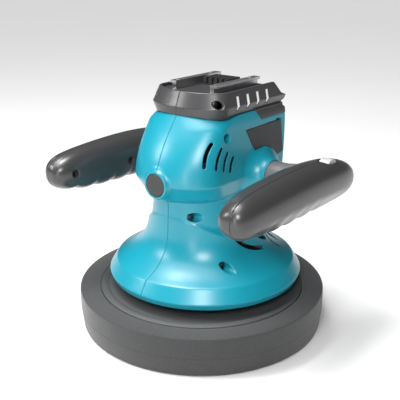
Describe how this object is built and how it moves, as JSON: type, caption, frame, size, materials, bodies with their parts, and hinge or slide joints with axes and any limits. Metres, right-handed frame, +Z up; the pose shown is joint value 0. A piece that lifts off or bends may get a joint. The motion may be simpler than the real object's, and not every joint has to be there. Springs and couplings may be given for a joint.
{
  "type": "dual action polisher",
  "caption": "Battery-powered orbital polisher with a flared housing, a handle on each side, a rocker switch and a round foam pad on an eccentric spindle.",
  "frame": {"origin": "on the pad's working face, directly below the motor's axis", "axes": "+Z up along the motor's axis, -Y to the front (the side with the round nose cap), +X to the handle with the switch"},
  "size_m": [0.2616, 0.261, 0.255],
  "materials": {
    "teal_shell": "satin moulded teal",
    "collar_plastic": "satin moulded dark grey",
    "grip_plastic": "semi-gloss dark grey",
    "cap_plastic": "matt near-black",
    "strip_plastic": "satin white",
    "label_plastic": "fine speckled dark grey",
    "rail_steel": "pressed steel",
    "terminal_plastic": "matt black",
    "brass": "plated contact",
    "screw_steel": "zinc plated",
    "bearing_steel": "ground",
    "rocker_plastic": "satin grey",
    "switch_plastic": "matt black",
    "lead_rubber": "black sleeve",
    "board": "green board",
    "motor_steel": "plated",
    "magnet": "sintered",
    "cast_alloy": "die cast",
    "motor_plastic": "glass-filled black",
    "copper": "enamelled copper",
    "carbon": "carbon",
    "weight_iron": "cast",
    "plate_plastic": "matt dark grey",
    "loop_fabric": "hook and loop",
    "foam_upper": "firm open-cell foam",
    "foam_lower": "soft open-cell foam"
  },
  "bodies": {
    "housing": {"housing_right": "teal_shell", "housing_left": "teal_shell", "collar_right": "collar_plastic", "collar_left": "collar_plastic", "battery_platform": "collar_plastic", "battery_rails": "rail_steel", "terminal_block": "terminal_plastic", "battery_terminals": "brass", "housing_screws": "screw_steel", "collar_screws": "screw_steel", "collar_strips": "strip_plastic", "platform_screws": "screw_steel", "nose_cap": "cap_plastic", "label_plate_right": "label_plastic", "label_plate_left": "label_plastic", "right_grip_shell": "grip_plastic", "right_grip_cover": "grip_plastic", "left_grip_shell": "grip_plastic", "left_grip_cover": "grip_plastic", "right_neck": "grip_plastic", "left_neck": "grip_plastic", "neck_screws": "screw_steel", "grip_screws": "screw_steel", "switch_bezel": "switch_plastic", "switch_body": "switch_plastic", "switch_lead": "lead_rubber", "control_board": "board", "board_posts": "collar_plastic", "motor_can": "motor_steel", "motor_magnets": "magnet", "motor_bracket": "cast_alloy", "bracket_screws": "screw_steel", "motor_end_cap": "motor_plastic", "brush_holders": "brass", "carbon_brushes": "carbon", "brush_springs": "screw_steel", "motor_bearing_outers": "bearing_steel"},
    "rotor": {"motor_bearing_inners": "bearing_steel", "motor_bearing_balls": "bearing_steel", "motor_shaft": "bearing_steel", "armature_core": "motor_steel", "armature_windings": "copper", "commutator": "copper", "cooling_fan": "motor_plastic", "fan_collar": "bearing_steel", "eccentric_hub": "cast_alloy", "counterweight": "weight_iron", "counterweight_screws": "screw_steel", "pad_bearing_outers": "bearing_steel", "hub_retaining_ring": "screw_steel"},
    "pad": {"pad_bearing_inners": "bearing_steel", "pad_bearing_balls": "bearing_steel", "pad_spindle": "bearing_steel", "spindle_clip": "screw_steel", "backing_plate": "plate_plastic", "plate_screws": "screw_steel", "loop_layer": "loop_fabric", "foam_upper": "foam_upper", "foam_lower": "foam_lower"},
    "switch": {"switch_rocker": "rocker_plastic"}
  },
  "joints": [
    {"name": "rotor_spin", "type": "hinge", "parent": "housing", "child": "rotor", "pos_m": [0, 0, 0.1], "axis": [0, 0, 1], "continuous": true},
    {"name": "pad_spin", "type": "hinge", "parent": "rotor", "child": "pad", "pos_m": [0, -0.006, 0.06], "axis": [0, 0, 1], "continuous": true},
    {"name": "switch_rock", "type": "hinge", "parent": "housing", "child": "switch", "pos_m": [0.113, 0.051, 0.17301], "axis": [1, 0, 0], "range_deg": [-8, 8]}
  ]
}
